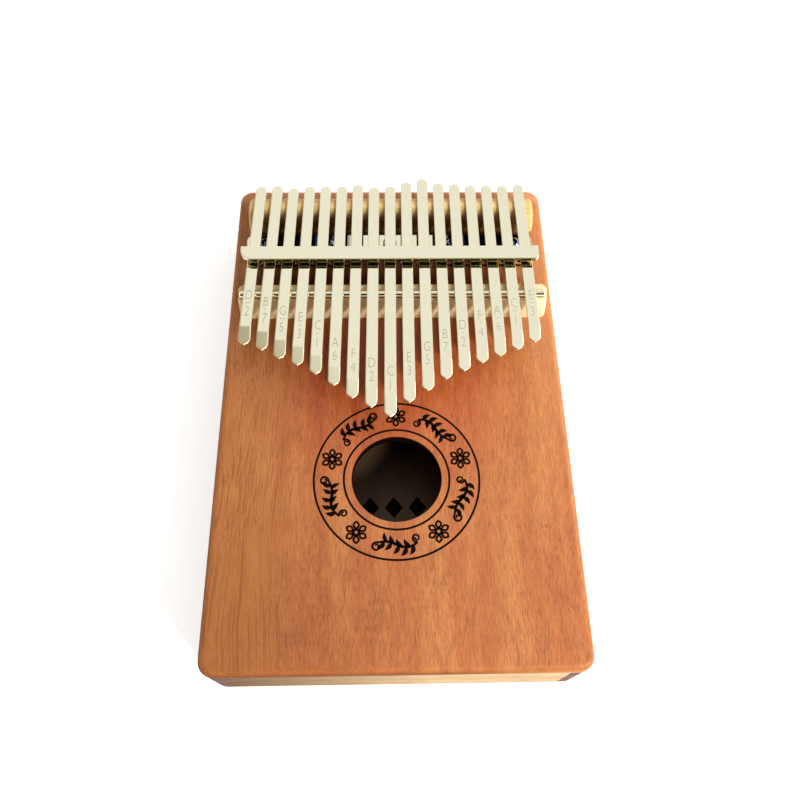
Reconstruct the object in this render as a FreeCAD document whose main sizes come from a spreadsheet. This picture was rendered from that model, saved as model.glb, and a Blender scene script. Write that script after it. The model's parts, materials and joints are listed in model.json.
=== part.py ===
"""Seventeen-tine box mbira (thumb piano), in millimetres.

Frame: +X across the box to the player's right, +Y towards the clamped rear ends of the
tines, +Z up out of the sound board. The origin is the middle of the box's underside.
"""
import FreeCAD, Part
import math
import os
import Sketcher

TINE_COUNT = 17
MIDDLE_TINE = 9
SCREW_COUNT = 5

# Slack for matching coordinates of edges, and the shortest upright edge that counts as one.
TOLERANCE = 1e-6
SHORTEST_UPRIGHT = 0.5

# Driving dimensions. Lengths in millimetres, angles in degrees.
DIMENSIONS = {
    # wooden box
    "box_length": 205.5,
    "box_width": 133.0,
    "corner_radius": 5.5,
    "top_edge_round": 2.5,
    "back_edge_round": 1.5,
    "back_thickness": 3.0,
    "rim_depth": 25.0,
    "top_thickness": 4.0,
    "rim_thickness": 8.0,
    "sound_hole_radius": 16.5,
    "sound_hole_x": 0.8,
    "sound_hole_y": -34.3,
    "back_hole_radius": 4.5,
    "back_hole_x": 24.0,
    "back_hole_y": -8.0,
    # brace glued under the clamp, inside the box
    "brace_depth": 20.0,
    "brace_thickness": 11.0,
    "brace_y": 70.0,
    # front bridge, the wooden strip that carries the steel rod
    "front_bridge_length": 124.8,
    "front_bridge_x": 0.4,
    "bridge_height": 8.2,
    "bridge_base_front": 35.3,
    "bridge_top_front": 39.0,
    "bridge_top_rear": 46.2,
    "bridge_base_rear": 47.6,
    "bridge_end_round": 2.5,
    "bridge_edge_round": 0.6,
    "rod_radius": 1.5,
    "rod_length": 122.8,
    "rod_x": 0.3,
    "rod_y": 41.3,
    "rod_chamfer": 0.4,
    "groove_radius": 1.9,
    # rear bridge, the rounded wooden strip under the rear ends
    "rear_bridge_length": 122.4,
    "rear_bridge_x": 0.2,
    "rear_bridge_radius": 8.6,
    "rear_bridge_y": 87.6,
    "rear_bridge_end_round": 1.6,
    # pressed steel clamp
    "clamp_length": 121.6,
    "clamp_x": -0.6,
    "clamp_steel": 1.5,
    "clamp_wall_front": 60.6,
    "clamp_base_rear": 76.5,
    "clamp_top_front": 55.2,
    "clamp_bend": 0.6,
    "clamp_top_round_left": 5.0,
    "clamp_top_round_right": 2.0,
    "clamp_base_round": 3.0,
    "window_width": 5.3,
    "window_sill": 3.0,
    "window_to_bar": 1.75,
    # clamp screws
    "screw_pitch": 26.4,
    "screw_y": 71.4,
    "screw_head_radius": 2.9,
    "screw_head_height": 1.6,
    "screw_shank_radius": 1.4,
    "screw_reach": 12.0,
    "screw_taper": 3.0,
    "screw_point_radius": 0.3,
    "screw_rim_height": 0.96,
    "screw_crown_radius": 1.74,
    "screw_hole_gap": 0.1,
    "screw_recess_width": 0.8,
    "screw_recess_reach": 1.8,
    "screw_recess_depth": 1.0,
    # tines
    "tine_pitch": 7.02,
    "tine_row_x": -0.77,
    "tine_row_turn": -0.59,
    "tine_fan": 0.055,
    "tine_width": 4.6,
    "tine_thickness": 1.0,
    "tine_slope": 3.15,
    "tine_edge_chamfer": 0.25,
    "tine_end_flat": 0.02,
    "tine_flex_start": 0.9,
    "tine_half_gap": 0.15,
    "tine_seat_gap": 0.004,
    "tip_bend_length": 7.7,
    "tip_bend_angle": 14.0,
    "tip_round": 1.9,
}

# Free length of each tine in front of its flexing line, left to right.
TONGUE_LENGTHS = [23.5, 26.0, 30.0, 33.0, 37.0, 42.0, 47.5, 51.5, 55.5,
                  49.5, 44.5, 39.5, 36.0, 32.5, 29.5, 26.5, 23.0]

# Length of each tine behind its flexing line, left to right.
TAIL_LENGTHS = [57.5, 58.0, 56.5, 57.5, 57.5, 57.5, 58.5, 57.0, 57.5,
                60.0, 62.0, 59.5, 59.0, 58.0, 58.0, 58.0, 58.5]


def add_derived_dimensions(sizes):
    """Complete the table with the lengths that follow from the driving ones."""
    slope = math.radians(sizes["tine_slope"])
    half_thickness = sizes["tine_thickness"] / 2.0

    sizes["half_length"] = sizes["box_length"] / 2.0
    sizes["half_width"] = sizes["box_width"] / 2.0
    sizes["rim_inner_x"] = sizes["half_width"] - sizes["rim_thickness"]
    sizes["rim_inner_y"] = sizes["half_length"] - sizes["rim_thickness"]
    sizes["rim_length_inside"] = 2.0 * sizes["rim_inner_x"]
    sizes["board_top"] = sizes["back_thickness"] + sizes["rim_depth"] + sizes["top_thickness"]
    sizes["board_bottom"] = sizes["board_top"] - sizes["top_thickness"]
    sizes["brace_bottom"] = sizes["board_bottom"] - sizes["brace_thickness"]
    sizes["brace_front"] = sizes["brace_y"] - sizes["brace_depth"] / 2.0

    # The rod lies half sunk in the front bridge's top, on the floor of a wider groove.
    sizes["rod_z"] = sizes["bridge_height"]
    sizes["groove_z"] = sizes["rod_z"] + sizes["groove_radius"] - sizes["rod_radius"]

    # The tines rest on the rod; their middle plane stays one radius and half a thickness off.
    # The seat gap keeps the turned tines from cutting into the rod and the rear bridge.
    seat = half_thickness + sizes["tine_seat_gap"]
    lift = sizes["rod_radius"] + seat
    contact_y = sizes["rod_y"] + lift * math.sin(slope)
    contact_z = sizes["rod_z"] + lift * math.cos(slope)
    sizes["flex_y"] = contact_y - sizes["tine_flex_start"] * math.cos(slope)
    sizes["flex_z"] = contact_z + sizes["tine_flex_start"] * math.sin(slope)

    # The rear bridge is tangent to the underside of the tines.
    drop = (sizes["rear_bridge_y"] - sizes["flex_y"]) * math.tan(slope)
    offset = (sizes["rear_bridge_radius"] + seat) / math.cos(slope)
    sizes["rear_bridge_z"] = sizes["flex_z"] - drop - offset
    sizes["rear_bridge_half"] = math.sqrt(sizes["rear_bridge_radius"] ** 2 - sizes["rear_bridge_z"] ** 2)
    sizes["rear_bridge_front"] = sizes["rear_bridge_y"] - sizes["rear_bridge_half"]
    sizes["rear_bridge_rear"] = sizes["rear_bridge_y"] + sizes["rear_bridge_half"]

    # The head of each window in the clamp's wall bears on the top of its tine.
    sizes["clamp_wall_rear"] = sizes["clamp_wall_front"] + sizes["clamp_steel"]
    fall = (sizes["clamp_wall_front"] - sizes["flex_y"]) * math.tan(slope)
    sizes["window_head"] = sizes["flex_z"] - fall + half_thickness / math.cos(slope)
    sizes["clamp_under_top"] = sizes["window_head"] + sizes["window_to_bar"]
    sizes["clamp_height"] = sizes["clamp_under_top"] + sizes["clamp_steel"]

    # The row of tines is turned a little and fans out, so the windows are set to suit.
    ahead = sizes["clamp_wall_front"] + sizes["clamp_steel"] / 2.0 - sizes["flex_y"]
    window_pitch = sizes["tine_pitch"] - ahead * math.radians(sizes["tine_fan"])
    middle_window = sizes["tine_row_x"] - ahead * math.sin(math.radians(sizes["tine_row_turn"]))
    sizes["window_span"] = (TINE_COUNT - 1) * window_pitch
    sizes["window_row_x"] = middle_window - sizes["clamp_x"] - sizes["window_span"] / 2.0

    sizes["screw_span"] = (SCREW_COUNT - 1) * sizes["screw_pitch"]
    sizes["screw_first_x"] = -sizes["screw_span"] / 2.0
    sizes["screw_hole_radius"] = sizes["screw_shank_radius"] + sizes["screw_hole_gap"]

    # Corners of the bent end of a tine, measured from the bend, flat part along -Y.
    bend = math.radians(sizes["tip_bend_angle"])
    mitre = half_thickness * math.tan(bend / 2.0)
    reach = sizes["tip_bend_length"]
    sizes["tip_run"] = reach * math.cos(bend)
    sizes["tip_drop"] = reach * math.sin(bend)
    sizes["tip_lift"] = half_thickness * math.sin(bend)
    sizes["tip_half"] = half_thickness * math.cos(bend)
    sizes["bend_mitre"] = mitre


def add_sheet(document, sizes):
    """Write every dimension as a plain number with its alias."""
    sheet = document.addObject("Spreadsheet::Sheet", "Dimensions")
    for row, (alias, value) in enumerate(sizes.items(), start=1):
        sheet.set("A%d" % row, alias)
        sheet.set("B%d" % row, repr(round(value, 6)))
        sheet.setAlias("B%d" % row, alias)
    document.recompute()
    return sheet


def size(alias):
    """Value of an alias, which may carry a leading minus sign."""
    value = DIMENSIONS[alias.lstrip("-")]
    return -value if alias.startswith("-") else value


def bound(alias):
    """Expression for an alias, which may carry a leading minus sign."""
    sign = "-" if alias.startswith("-") else ""
    return sign + "Dimensions." + alias.lstrip("-")


def bind(target, path, alias):
    target.setExpression(path, bound(alias))


def new_body(document, label, z=None, x=None, y=None):
    """Body named for its sub-part, placed by up to three aliases."""
    body = document.addObject("PartDesign::Body", label)
    body.Label = label
    for axis, alias in (("x", x), ("y", y), ("z", z)):
        if alias:
            bind(body, "Placement.Base." + axis, alias)
    return body


def new_sketch(body, name, role, offset=None):
    """Sketch on one of the body's own origin planes, optionally lifted by an alias."""
    sketch = body.newObject("Sketcher::SketchObject", name)
    for plane in body.Origin.OriginFeatures:
        if plane.Role == role:
            sketch.AttachmentSupport = (plane, [""])
    sketch.MapMode = "FlatFace"
    if offset:
        bind(sketch, "AttachmentOffset.Base.z", offset)
    return sketch


def fix_coordinate(sketch, geometry, vertex, direction, alias):
    """Hold one coordinate of a point on its alias, or on the axis when it is None."""
    if alias is None:
        axis = -2 if direction == "DistanceX" else -1
        sketch.addConstraint(Sketcher.Constraint("PointOnObject", geometry, vertex, axis))
        return
    constraint = Sketcher.Constraint(direction, -1, 1, geometry, vertex, size(alias))
    index = sketch.addConstraint(constraint)
    bind(sketch, "Constraints[%d]" % index, alias)


def add_polygon(sketch, corners):
    """Closed outline through corners given as (x alias, y alias)."""
    points = []
    for x, y in corners:
        points.append(FreeCAD.Vector(size(x) if x else 0.0, size(y) if y else 0.0, 0.0))
    first = sketch.GeometryCount
    count = len(points)
    for index in range(count):
        sketch.addGeometry(Part.LineSegment(points[index], points[(index + 1) % count]))
    for index in range(count):
        following = first + (index + 1) % count
        sketch.addConstraint(Sketcher.Constraint("Coincident", first + index, 2, following, 1))
    for index, (x, y) in enumerate(corners):
        fix_coordinate(sketch, first + index, 1, "DistanceX", x)
        fix_coordinate(sketch, first + index, 1, "DistanceY", y)


def add_circle(sketch, x, y, radius):
    """Circle with its centre and radius given by aliases."""
    centre = FreeCAD.Vector(size(x) if x else 0.0, size(y) if y else 0.0, 0.0)
    index = sketch.addGeometry(Part.Circle(centre, FreeCAD.Vector(0, 0, 1), size(radius)))
    fix_coordinate(sketch, index, 3, "DistanceX", x)
    fix_coordinate(sketch, index, 3, "DistanceY", y)
    constraint = sketch.addConstraint(Sketcher.Constraint("Radius", index, size(radius)))
    bind(sketch, "Constraints[%d]" % constraint, radius)


def pad(body, sketch, name, length, midplane=False):
    feature = body.newObject("PartDesign::Pad", name)
    feature.Profile = sketch
    feature.SideType = "Symmetric" if midplane else "One side"
    bind(feature, "Length", length)
    sketch.Document.recompute()
    return feature


def pocket(body, sketch, name, reverse=False):
    """Cut the sketch right through the body, and make sure that it did cut."""
    before = body.Shape.Volume
    feature = body.newObject("PartDesign::Pocket", name)
    feature.Profile = sketch
    feature.Type = "ThroughAll"
    feature.Reversed = reverse
    sketch.Document.recompute()
    if feature.Shape.Volume >= before:
        raise RuntimeError(name + " removed nothing")
    return feature


def edges_where(feature, test):
    """Names of the feature's edges that satisfy the test."""
    names = []
    for index, edge in enumerate(feature.Shape.Edges, start=1):
        if test(edge):
            names.append("Edge%d" % index)
    return names


def dress(body, base, kind, name, alias, test):
    """Fillet or chamfer the edges of base that satisfy the test."""
    feature = body.newObject("PartDesign::" + kind, name)
    feature.Base = (base, edges_where(base, test))
    bind(feature, "Radius" if kind == "Fillet" else "Size", alias)
    body.Document.recompute()
    return feature


def spans(edge, axis):
    """Extent of an edge's bounding box along the axis named X, Y or Z."""
    return getattr(edge.BoundBox, axis + "Length")


def is_at(value, place):
    return abs(value - place) < TOLERANCE


def is_upright(edge):
    level = max(spans(edge, "X"), spans(edge, "Y"))
    return level < TOLERANCE and spans(edge, "Z") > SHORTEST_UPRIGHT


def is_lengthwise(edge):
    """True for an edge that runs the length of a bridge or of the clamp."""
    return spans(edge, "X") > size("half_width")


def is_in_section(edge):
    """True for an edge that lies in a plane square to X."""
    return spans(edge, "X") < TOLERANCE


def is_level_at(edge, height):
    return is_at(edge.BoundBox.ZMin, height) and is_at(edge.BoundBox.ZMax, height)


def is_outline(edge):
    """True for an edge on the box's outer outline rather than round a hole."""
    box = edge.BoundBox
    reach_x = max(abs(box.XMin), abs(box.XMax))
    reach_y = max(abs(box.YMin), abs(box.YMax))
    return is_at(reach_x, size("half_width")) or is_at(reach_y, size("half_length"))


def add_pattern(body, original, sketch, name, span, count):
    """Repeat a feature along the sketch's horizontal axis."""
    pattern = body.newObject("PartDesign::LinearPattern", name)
    pattern.Originals = [original]
    pattern.Direction = (sketch, ["H_Axis"])
    bind(pattern, "Length", span)
    pattern.Occurrences = count
    body.Tip = pattern
    body.Document.recompute()
    return pattern


def plate_outline(body, name):
    sketch = new_sketch(body, name, "XY_Plane")
    add_polygon(sketch, [("-half_width", "-half_length"), ("half_width", "-half_length"),
                         ("half_width", "half_length"), ("-half_width", "half_length")])
    return sketch


def make_back_plate(document):
    """Back board with two small holes that the player's middle fingers open and close."""
    body = new_body(document, "back_plate")
    blank = pad(body, plate_outline(body, "back_outline"), "back_blank", "back_thickness")
    rounded = dress(body, blank, "Fillet", "back_corners", "corner_radius", is_upright)
    dress(body, rounded, "Fillet", "back_edge", "back_edge_round",
          lambda edge: is_level_at(edge, 0.0) and is_outline(edge))
    sketch = new_sketch(body, "back_holes", "XY_Plane")
    add_circle(sketch, "-back_hole_x", "back_hole_y", "back_hole_radius")
    add_circle(sketch, "back_hole_x", "back_hole_y", "back_hole_radius")
    pocket(body, sketch, "back_hole_cut", reverse=True)
    return body


def make_top_plate(document):
    """Sound board with the round sound hole and the clamp's screw holes."""
    body = new_body(document, "top_plate", z="board_bottom")
    blank = pad(body, plate_outline(body, "top_outline"), "top_blank", "top_thickness")
    rounded = dress(body, blank, "Fillet", "top_corners", "corner_radius", is_upright)
    dress(body, rounded, "Fillet", "top_edge", "top_edge_round",
          lambda edge: is_level_at(edge, size("top_thickness")) and is_outline(edge))
    hole = new_sketch(body, "sound_hole", "XY_Plane")
    add_circle(hole, "sound_hole_x", "sound_hole_y", "sound_hole_radius")
    pocket(body, hole, "sound_hole_cut", reverse=True)
    add_screw_holes(body, "top", "clamp_screw_x")
    return body


def add_screw_holes(body, prefix, first_x):
    """Row of holes for the clamp's screws."""
    sketch = new_sketch(body, prefix + "_screw_hole", "XY_Plane")
    add_circle(sketch, first_x, "screw_y", "screw_hole_radius")
    hole = pocket(body, sketch, prefix + "_screw_hole_cut", reverse=True)
    add_pattern(body, hole, sketch, prefix + "_screw_holes", "screw_span", SCREW_COUNT)


def make_side_rail(document, label, side):
    """Side of the rim, the full length of the box, with rounded outer corners."""
    body = new_body(document, label, z="back_thickness")
    inner = "rim_inner_x" if side > 0 else "-rim_inner_x"
    outer = "half_width" if side > 0 else "-half_width"
    sketch = new_sketch(body, label + "_outline", "XY_Plane")
    add_polygon(sketch, [(inner, "-half_length"), (outer, "-half_length"),
                         (outer, "half_length"), (inner, "half_length")])
    blank = pad(body, sketch, label + "_blank", "rim_depth")
    dress(body, blank, "Fillet", label + "_corners", "corner_radius",
          lambda edge: is_upright(edge) and is_at(abs(edge.BoundBox.XMin), size("half_width")))
    return body


def make_end_rail(document, label, y):
    """End of the rim, let in between the two sides."""
    rail = document.addObject("Part::Box", label)
    rail.Label = label
    bind(rail, "Length", "rim_length_inside")
    bind(rail, "Width", "rim_thickness")
    bind(rail, "Height", "rim_depth")
    bind(rail, "Placement.Base.x", "-rim_inner_x")
    bind(rail, "Placement.Base.y", y)
    bind(rail, "Placement.Base.z", "back_thickness")
    return rail


def make_brace(document):
    """Wooden brace under the sound board, which the clamp's screws bite into."""
    body = new_body(document, "clamp_brace", z="brace_bottom")
    sketch = new_sketch(body, "brace_outline", "XY_Plane")
    add_polygon(sketch, [("-rim_inner_x", "brace_front"), ("rim_inner_x", "brace_front"),
                         ("rim_inner_x", "brace_rear"), ("-rim_inner_x", "brace_rear")])
    pad(body, sketch, "brace_blank", "brace_thickness")
    add_screw_holes(body, "brace", "clamp_screw_x")
    return body


def make_front_bridge(document):
    """Wooden strip with a sloping front and a round groove, a little wider than the rod."""
    body = new_body(document, "front_bridge", x="front_bridge_x", z="board_top")
    sketch = new_sketch(body, "front_bridge_profile", "YZ_Plane")
    add_polygon(sketch, [("bridge_base_front", None), ("bridge_base_rear", None),
                         ("bridge_top_rear", "bridge_height"), ("bridge_top_front", "bridge_height")])
    blank = pad(body, sketch, "front_bridge_blank", "front_bridge_length", midplane=True)
    ends = dress(body, blank, "Fillet", "front_bridge_ends", "bridge_end_round",
                 lambda edge: is_in_section(edge) and is_at(edge.BoundBox.ZMax, size("bridge_height"))
                 and is_at(edge.BoundBox.ZMin, 0.0))
    dress(body, ends, "Fillet", "front_bridge_rear_edge", "bridge_edge_round",
          lambda edge: is_lengthwise(edge) and is_level_at(edge, size("bridge_height"))
          and edge.BoundBox.YMin > size("rod_y"))
    groove = new_sketch(body, "rod_groove", "YZ_Plane")
    add_circle(groove, "rod_y", "groove_z", "groove_radius")
    cut = body.newObject("PartDesign::Pocket", "rod_groove_cut")
    cut.Profile = groove
    cut.SideType = "Symmetric"
    bind(cut, "Length", "box_width")
    document.recompute()
    return body


def make_bridge_rod(document):
    """Round steel rod that the tines press on."""
    body = new_body(document, "bridge_rod", x="rod_x", z="board_top")
    sketch = new_sketch(body, "rod_section", "YZ_Plane")
    add_circle(sketch, "rod_y", "rod_z", "rod_radius")
    rod = pad(body, sketch, "rod_bar", "rod_length", midplane=True)
    dress(body, rod, "Chamfer", "rod_ends", "rod_chamfer", is_in_section)
    return body


def make_rear_bridge(document):
    """Wooden strip with a round top under the rear ends of the tines."""
    body = new_body(document, "rear_bridge", x="rear_bridge_x", z="board_top")
    sketch = new_sketch(body, "rear_bridge_profile", "YZ_Plane")
    front = FreeCAD.Vector(size("rear_bridge_front"), 0.0, 0.0)
    rear = FreeCAD.Vector(size("rear_bridge_rear"), 0.0, 0.0)
    top = FreeCAD.Vector(size("rear_bridge_y"), size("rear_bridge_z") + size("rear_bridge_radius"), 0.0)
    base_line = sketch.addGeometry(Part.LineSegment(front, rear))
    crown = sketch.addGeometry(Part.Arc(rear, top, front))
    sketch.addConstraint(Sketcher.Constraint("Coincident", base_line, 2, crown, 1))
    sketch.addConstraint(Sketcher.Constraint("Coincident", base_line, 1, crown, 2))
    fix_coordinate(sketch, base_line, 1, "DistanceX", "rear_bridge_front")
    fix_coordinate(sketch, base_line, 1, "DistanceY", None)
    fix_coordinate(sketch, base_line, 2, "DistanceX", "rear_bridge_rear")
    fix_coordinate(sketch, base_line, 2, "DistanceY", None)
    radius = sketch.addConstraint(Sketcher.Constraint("Radius", crown, size("rear_bridge_radius")))
    bind(sketch, "Constraints[%d]" % radius, "rear_bridge_radius")
    blank = pad(body, sketch, "rear_bridge_blank", "rear_bridge_length", midplane=True)
    dress(body, blank, "Fillet", "rear_bridge_ends", "rear_bridge_end_round",
          lambda edge: is_in_section(edge) and spans(edge, "Z") > TOLERANCE)
    return body


def make_clamp(document):
    """Pressed steel clamp: a screwed-down base, a wall with a window for each tine, and a top bar."""
    body = new_body(document, "tine_clamp", x="clamp_x", z="board_top")
    sketch = new_sketch(body, "clamp_profile", "YZ_Plane")
    add_polygon(sketch, [("clamp_base_rear", None), ("clamp_base_rear", "clamp_steel"),
                         ("clamp_wall_rear", "clamp_steel"), ("clamp_wall_rear", "clamp_height"),
                         ("clamp_top_front", "clamp_height"), ("clamp_top_front", "clamp_under_top"),
                         ("clamp_wall_front", "clamp_under_top"), ("clamp_wall_front", None)])
    blank = pad(body, sketch, "clamp_blank", "clamp_length", midplane=True)
    bends = dress(body, blank, "Fillet", "clamp_bends", "clamp_bend", is_clamp_bend)
    left = dress(body, bends, "Fillet", "clamp_top_left_corner", "clamp_top_round_left",
                 lambda edge: is_bar_corner(edge) and edge.BoundBox.XMin < 0.0)
    right = dress(body, left, "Fillet", "clamp_top_right_corner", "clamp_top_round_right",
                  lambda edge: is_bar_corner(edge) and edge.BoundBox.XMin > 0.0)
    dress(body, right, "Fillet", "clamp_base_corners", "clamp_base_round",
          lambda edge: is_upright(edge) and is_at(edge.BoundBox.YMin, size("clamp_base_rear")))

    window = new_sketch(body, "tine_window", "XZ_Plane")
    add_polygon(window, [("window_left", "window_sill"), ("window_right", "window_sill"),
                         ("window_right", "window_head"), ("window_left", "window_head")])
    opening = pocket(body, window, "tine_window_cut", reverse=False)
    add_pattern(body, opening, window, "tine_windows", "window_span", TINE_COUNT)
    add_screw_holes(body, "clamp", "screw_first_x")
    return body


def is_bar_corner(edge):
    """Upright edges at the two ends of the clamp's top bar."""
    return is_upright(edge) and is_at(edge.BoundBox.YMin, size("clamp_top_front"))


def is_clamp_bend(edge):
    """Long edges where the steel folds: the two outsides and the two insides."""
    near = edge.BoundBox.YMin
    at_wall = is_at(near, size("clamp_wall_front")) or is_at(near, size("clamp_wall_rear"))
    return is_lengthwise(edge) and at_wall


def make_screw(document, number):
    """Pan-head wood screw with a cross recess."""
    body = new_body(document, "clamp_screw_%d" % number, y="screw_y", z="screw_seat")
    across = "Dimensions.clamp_screw_x + %d * Dimensions.screw_pitch" % (number - 1)
    body.setExpression("Placement.Base.x", across)
    profile = new_sketch(body, "screw_profile_%d" % number, "XZ_Plane")
    add_polygon(profile, [(None, "-screw_reach"), ("screw_point_radius", "-screw_reach"),
                          ("screw_shank_radius", "-screw_taper_start"), ("screw_shank_radius", None),
                          ("screw_head_radius", None), ("screw_head_radius", "screw_rim_height"),
                          ("screw_crown_radius", "screw_head_height"), (None, "screw_head_height")])
    turned = body.newObject("PartDesign::Revolution", "screw_turned_%d" % number)
    turned.Profile = profile
    turned.ReferenceAxis = (profile, ["V_Axis"])
    turned.Angle = 360.0
    document.recompute()

    for direction in ("along", "across"):
        name = "screw_slot_%s_%d" % (direction, number)
        slot = new_sketch(body, name, "XY_Plane", offset="screw_head_height")
        reach, width = "screw_recess_reach", "screw_recess_half"
        if direction == "across":
            reach, width = width, reach
        add_polygon(slot, [("-" + reach, "-" + width), (reach, "-" + width),
                           (reach, width), ("-" + reach, width)])
        cut = body.newObject("PartDesign::Pocket", name + "_cut")
        cut.Profile = slot
        bind(cut, "Length", "screw_recess_depth")
        document.recompute()
    return body


def place_on_tine_line(body, number):
    """Put a tine piece's frame on its flexing line, with +Y running down to the rear."""
    step = number - MIDDLE_TINE
    across = "Dimensions.tine_row_x + %d * Dimensions.tine_pitch" % step
    turn = "Dimensions.tine_row_turn + %d * Dimensions.tine_fan" % step
    place = "vector(%s; Dimensions.flex_y; Dimensions.board_top + Dimensions.flex_z)" % across
    attitude = "rotation(%s; 0; -Dimensions.tine_slope)" % turn
    body.setExpression("Placement", "placement(%s; %s)" % (place, attitude))


def is_top_long_edge(edge):
    """Upper side edges of a tine's flat part."""
    return is_level_at(edge, size("tine_half")) and spans(edge, "Y") > size("tine_width")


def make_tine_tail(document, number):
    """The part of a tine that stays still: over the rod, through the clamp, over the rear bridge."""
    label = "tine_%02d_tail" % number
    rear = "tail_length_%02d" % number
    body = new_body(document, label)
    place_on_tine_line(body, number)
    sketch = new_sketch(body, label + "_outline", "XY_Plane")
    add_polygon(sketch, [("-tine_half_width", "tine_half_gap"), ("tine_half_width", "tine_half_gap"),
                         ("tine_half_width", rear), ("-tine_half_width", rear)])
    blank = pad(body, sketch, label + "_blank", "tine_thickness", midplane=True)
    rounded = dress(body, blank, "Fillet", label + "_end", "tine_end_round",
                    lambda edge: is_upright(edge) and is_at(edge.BoundBox.YMin, size(rear)))
    dress(body, rounded, "Chamfer", label + "_bevel", "tine_edge_chamfer", is_top_long_edge)
    return body


def make_tine_tongue(document, number):
    """The free, flexing part of a tine, bent down at its tip."""
    label = "tine_%02d" % number
    body = new_body(document, label)
    place_on_tine_line(body, number)
    sketch = new_sketch(body, label + "_profile", "YZ_Plane")
    bend_top = "bend_top_%02d" % number
    bend_low = "bend_low_%02d" % number
    add_polygon(sketch, [("-tine_half_gap", "-tine_half"), ("-tine_half_gap", "tine_half"),
                         ("-" + bend_top, "tine_half"), ("-tip_top_%02d" % number, "-tip_top_drop"),
                         ("-tip_low_%02d" % number, "-tip_low_drop"), ("-" + bend_low, "-tine_half")])
    blank = pad(body, sketch, label + "_blank", "tine_width", midplane=True)
    tip = "-tip_top_%02d" % number
    rounded = dress(body, blank, "Fillet", label + "_tip", "tip_round",
                    lambda edge: is_in_section(edge) and is_at(edge.BoundBox.YMin, size(tip))
                    and is_at(edge.BoundBox.ZMax, -size("tip_top_drop")))
    dress(body, rounded, "Chamfer", label + "_bevel", "tine_edge_chamfer", is_top_long_edge)
    return body


def add_piece_dimensions(sizes):
    """Complete the table with the dimensions of single pieces."""
    sizes["brace_rear"] = sizes["brace_front"] + sizes["brace_depth"]
    sizes["clamp_screw_x"] = sizes["clamp_x"] + sizes["screw_first_x"]
    sizes["window_left"] = sizes["window_row_x"] - sizes["window_width"] / 2.0
    sizes["window_right"] = sizes["window_row_x"] + sizes["window_width"] / 2.0
    sizes["screw_seat"] = sizes["board_top"] + sizes["clamp_steel"]
    sizes["screw_taper_start"] = sizes["screw_reach"] - sizes["screw_taper"]
    sizes["screw_recess_half"] = sizes["screw_recess_width"] / 2.0
    sizes["end_rail_front_y"] = -sizes["half_length"]
    sizes["tine_half"] = sizes["tine_thickness"] / 2.0
    sizes["tine_half_width"] = sizes["tine_width"] / 2.0
    sizes["tine_end_round"] = (sizes["tine_width"] - sizes["tine_end_flat"]) / 2.0
    sizes["tip_top_drop"] = sizes["tip_drop"] - sizes["tip_half"]
    sizes["tip_low_drop"] = sizes["tip_drop"] + sizes["tip_half"]
    for index in range(TINE_COUNT):
        number = "_%02d" % (index + 1)
        bend = TONGUE_LENGTHS[index] - sizes["tip_bend_length"]
        sizes["tail_length" + number] = TAIL_LENGTHS[index]
        sizes["bend_top" + number] = bend + sizes["bend_mitre"]
        sizes["bend_low" + number] = bend - sizes["bend_mitre"]
        sizes["tip_top" + number] = bend + sizes["tip_run"] + sizes["tip_lift"]
        sizes["tip_low" + number] = bend + sizes["tip_run"] - sizes["tip_lift"]


def make_pieces(document):
    """Every sub-part of the instrument."""
    pieces = [
        make_back_plate(document),
        make_side_rail(document, "side_rail_left", -1),
        make_side_rail(document, "side_rail_right", 1),
        make_end_rail(document, "end_rail_front", "end_rail_front_y"),
        make_end_rail(document, "end_rail_rear", "rim_inner_y"),
        make_brace(document),
        make_top_plate(document),
        make_front_bridge(document),
        make_bridge_rod(document),
        make_rear_bridge(document),
        make_clamp(document),
    ]
    for number in range(1, SCREW_COUNT + 1):
        pieces.append(make_screw(document, number))
    for number in range(1, TINE_COUNT + 1):
        pieces.append(make_tine_tail(document, number))
        pieces.append(make_tine_tongue(document, number))
    return pieces


def check(document, pieces):
    """Stop unless every object computed and every sub-part is one valid solid."""
    for item in document.Objects:
        if "Invalid" in item.State or "Error" in item.State:
            raise RuntimeError("%s failed: %s" % (item.Name, item.State))
    for piece in pieces:
        if piece.Shape.isNull() or not piece.Shape.isValid() or len(piece.Shape.Solids) != 1:
            raise RuntimeError(piece.Label + " is not one valid solid")


def main():
    add_derived_dimensions(DIMENSIONS)
    add_piece_dimensions(DIMENSIONS)
    document = FreeCAD.newDocument("mbira")
    add_sheet(document, DIMENSIONS)
    pieces = make_pieces(document)
    document.recompute()
    check(document, pieces)
    os.makedirs("parts", exist_ok=True)
    for piece in pieces:
        piece.Shape.exportStep("parts/%s.step" % piece.Label)
        print(piece.Label, round(piece.Shape.Volume, 2))


main()
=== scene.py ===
"""Looks of the seventeen-tine box mbira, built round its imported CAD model. Lengths in metres."""
from collections import namedtuple
import json
import math

import bpy
from mathutils import Matrix, Vector


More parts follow.
